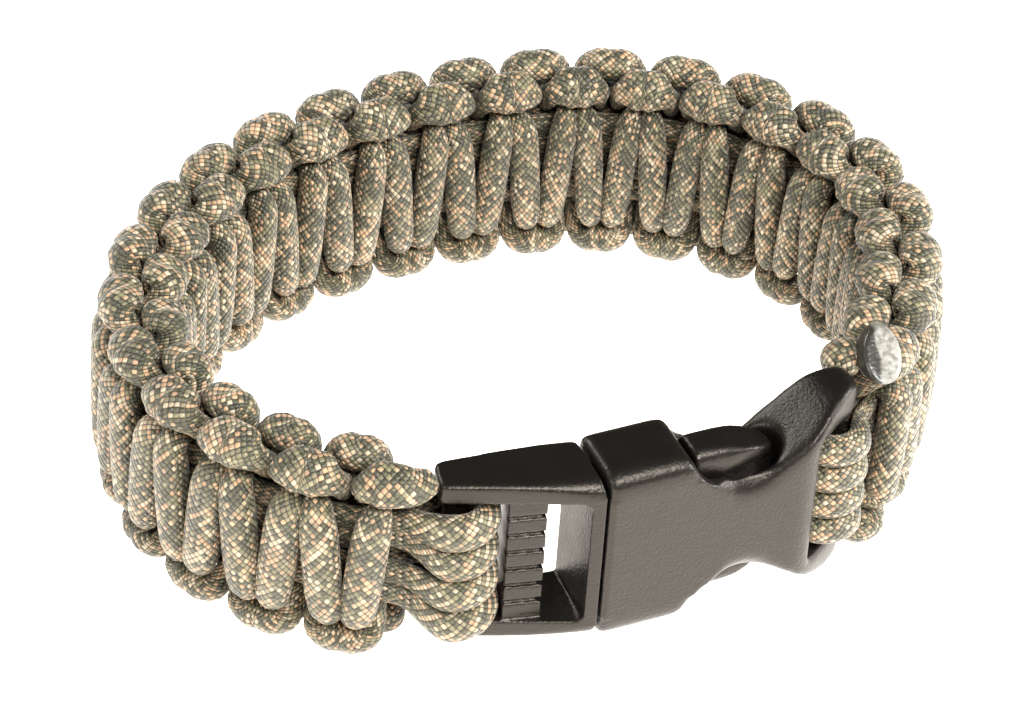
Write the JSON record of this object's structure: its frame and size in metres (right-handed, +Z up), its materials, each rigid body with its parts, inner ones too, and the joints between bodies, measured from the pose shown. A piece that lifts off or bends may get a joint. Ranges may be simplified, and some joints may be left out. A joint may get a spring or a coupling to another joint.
{
  "type": "paracord bracelet",
  "caption": "Closed woven cord bracelet with a curved black side-release buckle, a band of knots round core cords, resting on its side edge.",
  "frame": {"origin": "centre of the loop's bounding box on the plane that its lower edge rests on", "axes": "+X along the buckle from the plug to the socket, +Y from the buckle to the back of the loop, +Z up through the wrist opening"},
  "size_m": [0.0928, 0.0727, 0.0266],
  "materials": {
    "buckle_plastic": "fine orange peel, satin",
    "cord_a": "braided sheath, grey-green, tan and pale speckle",
    "cord_b": "braided sheath, grey-green, tan and pale speckle",
    "cord_core": "braided sheath, grey-green, tan and pale speckle",
    "melted_nylon": "melted and pressed flat, glossy"
  },
  "bodies": {
    "root": {"buckle_plug": "buckle_plastic", "buckle_socket": "buckle_plastic", "core_cords": "cord_core", "strand_a": "cord_a", "strand_b": "cord_b", "melted_end": "melted_nylon"}
  },
  "joints": []
}
